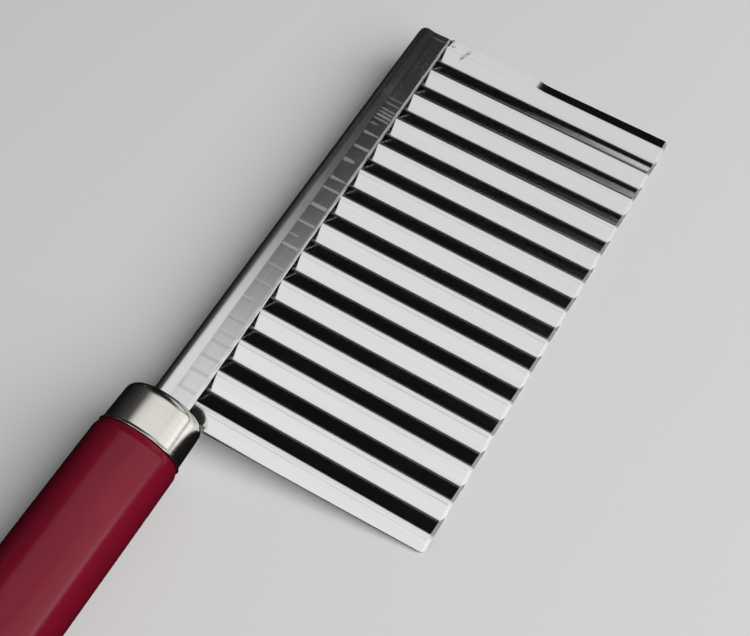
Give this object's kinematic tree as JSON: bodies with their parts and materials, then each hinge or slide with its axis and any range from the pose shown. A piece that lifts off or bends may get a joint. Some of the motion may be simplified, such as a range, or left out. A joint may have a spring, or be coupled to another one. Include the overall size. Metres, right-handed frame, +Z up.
{
  "type": "crinkle cutter",
  "caption": "Hand-held crinkle cutter: a corrugated steel blade crimped in a folded spine, on a rod through a ferrule into a round glossy handle with a hang hole.",
  "frame": {"origin": "middle of the hang hole in the handle's butt, on the handle's axis", "axes": "+X along the handle to the blade's far end, -Y towards the cutting edge, +Z up off the blade's bevelled face and along the hang hole"},
  "size_m": [0.2385, 0.0751, 0.0214],
  "materials": {
    "blade_steel": "bright polished stainless steel with fine brushing",
    "spine_steel": "satin stainless steel with pressing marks",
    "rod_steel": "plain drawn steel",
    "ferrule_steel": "polished, slightly warm steel",
    "handle_gloss": "smooth glossy crimson"
  },
  "bodies": {
    "root": {"blade": "blade_steel", "spine": "spine_steel", "tang_rod": "rod_steel", "ferrule": "ferrule_steel", "handle": "handle_gloss"}
  },
  "joints": []
}
